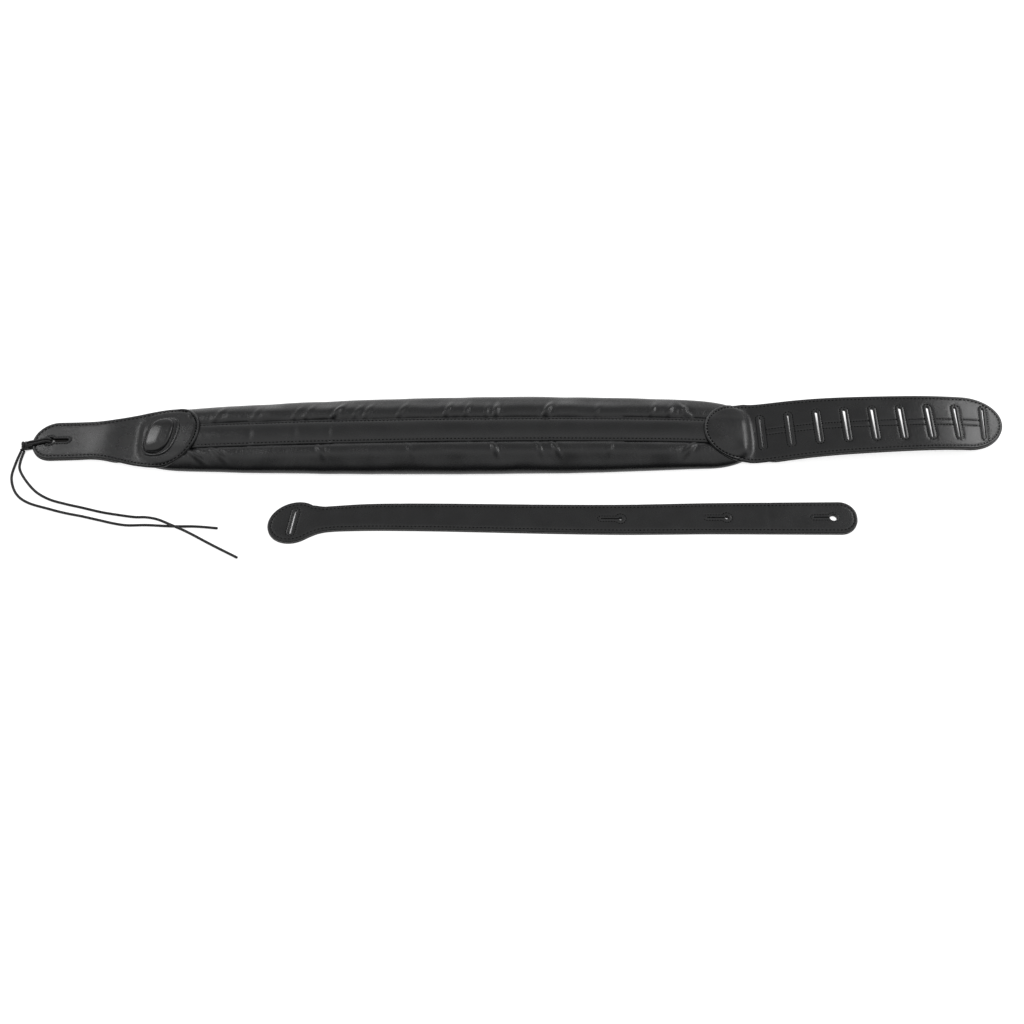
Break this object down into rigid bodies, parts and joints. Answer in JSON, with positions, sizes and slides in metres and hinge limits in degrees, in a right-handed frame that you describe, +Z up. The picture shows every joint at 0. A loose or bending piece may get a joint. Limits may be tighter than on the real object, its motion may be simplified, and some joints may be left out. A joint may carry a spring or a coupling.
{
  "type": "padded shoulder strap",
  "caption": "Padded black leather instrument strap laid out flat: head tab with tie lace, slotted adjustment tab, and a separate slotted tail with keyholes.",
  "frame": {"origin": "middle of the leather pieces' outline on the surface they lie on", "axes": "+X along the padded strap from its head tab to its ladder tab, +Z up off the surface"},
  "size_m": [0.8957, 0.1632, 0.0218],
  "materials": {
    "band_leather": "semi-gloss",
    "cover_leather": "soft semi-gloss, creased",
    "backing_leather": "matt",
    "badge_leather": "gloss",
    "stiffener": "matt fibre board",
    "foam": "open foam",
    "webbing": "woven",
    "thread": "waxed thread",
    "lace": "waxed round lace"
  },
  "bodies": {
    "pad": {"pad_backing": "backing_leather", "pad_cover": "cover_leather", "foam_core": "foam", "webbing_core": "webbing", "centre_band": "band_leather", "centre_band_seams": "thread", "head_cap_leather": "band_leather", "head_cap_seam": "thread", "ladder_cap_leather": "band_leather", "ladder_cap_seam": "thread", "badge_base": "badge_leather", "badge_pad": "badge_leather", "badge_seam": "thread", "lace_tail_a": "lace", "lace_tail_b": "lace"},
    "head_tab": {"head_tab_top": "band_leather", "head_tab_core": "stiffener", "head_tab_backing": "backing_leather", "head_tab_seam": "thread", "head_keyhole_seam": "thread", "lace_loop": "lace", "lace_knot": "lace"},
    "ladder_tab": {"ladder_top": "band_leather", "ladder_core": "stiffener", "ladder_backing": "backing_leather", "ladder_edge_seam": "thread", "ladder_slot_seams": "thread"},
    "tail": {"tail_top": "band_leather", "tail_core": "stiffener", "tail_backing": "backing_leather", "tail_edge_seam": "thread", "tail_slot_seam": "thread", "tail_keyhole_seams": "thread"}
  },
  "joints": [
    {"name": "head_tab_flex", "type": "hinge", "parent": "pad", "child": "head_tab", "pos_m": [-0.347, 0.0341, 0.0062], "axis": [0, 1, 0], "range_deg": [-60, 75], "stiffness_Nm_per_rad": 0.5},
    {"name": "ladder_tab_flex", "type": "hinge", "parent": "pad", "child": "ladder_tab", "pos_m": [0.217, 0.0341, 0.0028], "axis": [0, 1, 0], "range_deg": [-75, 60], "stiffness_Nm_per_rad": 1, "springref_deg": -2.29},
    {"name": "tail_lift", "type": "slide", "parent": "pad", "child": "tail", "axis": [0, 0, 1], "range_m": [0, 0.1]}
  ]
}
